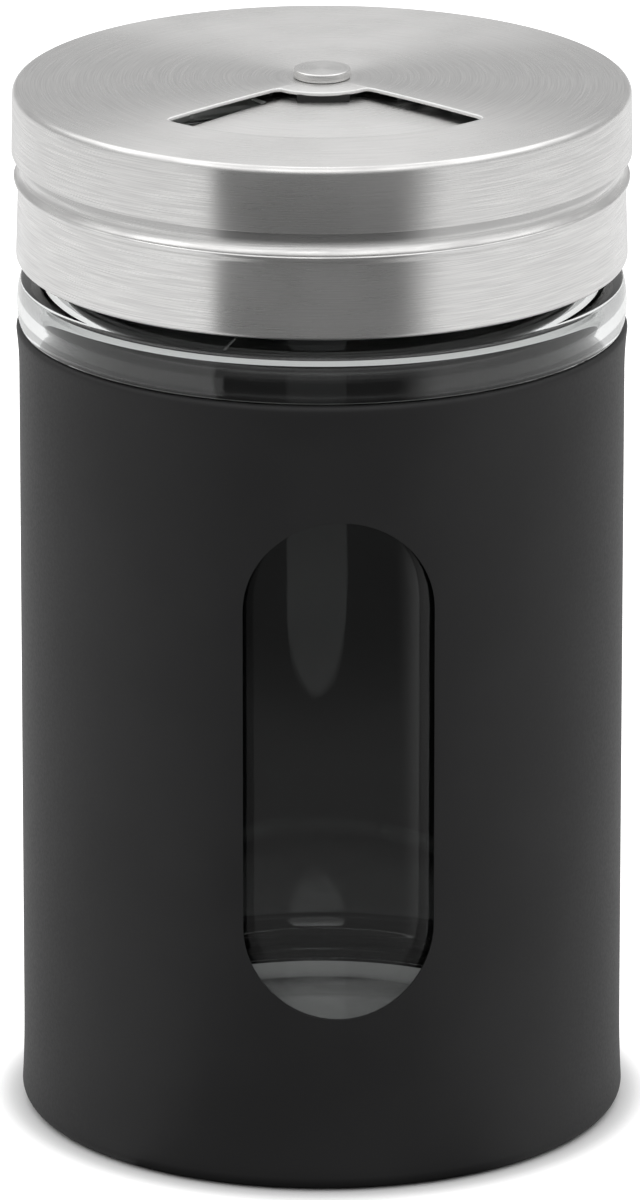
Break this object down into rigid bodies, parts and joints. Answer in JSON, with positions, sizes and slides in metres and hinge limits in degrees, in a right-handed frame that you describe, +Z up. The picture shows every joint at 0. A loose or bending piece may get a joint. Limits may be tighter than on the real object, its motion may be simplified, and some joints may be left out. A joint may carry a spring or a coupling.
{
  "type": "spice shaker with rotary sifter lid",
  "caption": "Clear glass jar in a black sheet sleeve with a tall rounded window, closed by a brushed steel screw lid whose riveted rotary cap uncovers pouring or sifting openings.",
  "frame": {"origin": "centre of the sleeve's foot, on the plane the shaker stands on", "axes": "+Z up along the jar's axis; -Y towards the viewer, through the middle of the sleeve's window"},
  "size_m": [0.064, 0.064, 0.1116],
  "materials": {
    "black_coat": "matte powder coat",
    "clear_glass": "clear, polished",
    "seal_foam": "soft, matte",
    "insert_plastic": "moulded, satin",
    "lid_steel": "brushed round the axis",
    "cap_steel": "brushed in circles",
    "spacer_plastic": "matte",
    "rivet_steel": "turned, satin",
    "washer_steel": "stamped, satin"
  },
  "bodies": {
    "jar": {"glass_jar": "clear_glass", "jar_sleeve": "black_coat"},
    "seal": {"seal_ring": "seal_foam"},
    "lid": {"sifter_lid": "lid_steel", "thread_insert": "insert_plastic", "centre_rivet": "rivet_steel", "backing_washer": "washer_steel"},
    "dial": {"dial_cap": "cap_steel", "dial_spacer": "spacer_plastic"}
  },
  "joints": [
    {"name": "lid_rise", "type": "slide", "parent": "jar", "child": "seal", "axis": [0, 0, 1], "range_m": [0, 0.015]},
    {"name": "lid_unscrew", "type": "hinge", "parent": "seal", "child": "lid", "pos_m": [0, 0, 0.1], "axis": [0, 0, 1], "range_deg": [0, 1080]},
    {"name": "dial_turn", "type": "hinge", "parent": "lid", "child": "dial", "pos_m": [0, 0, 0.11], "axis": [0, 0, 1], "continuous": true}
  ],
  "couplings": [
    {"joint": "lid_rise", "follows": "lid_unscrew", "m_per_rad": 0.00079577}
  ]
}
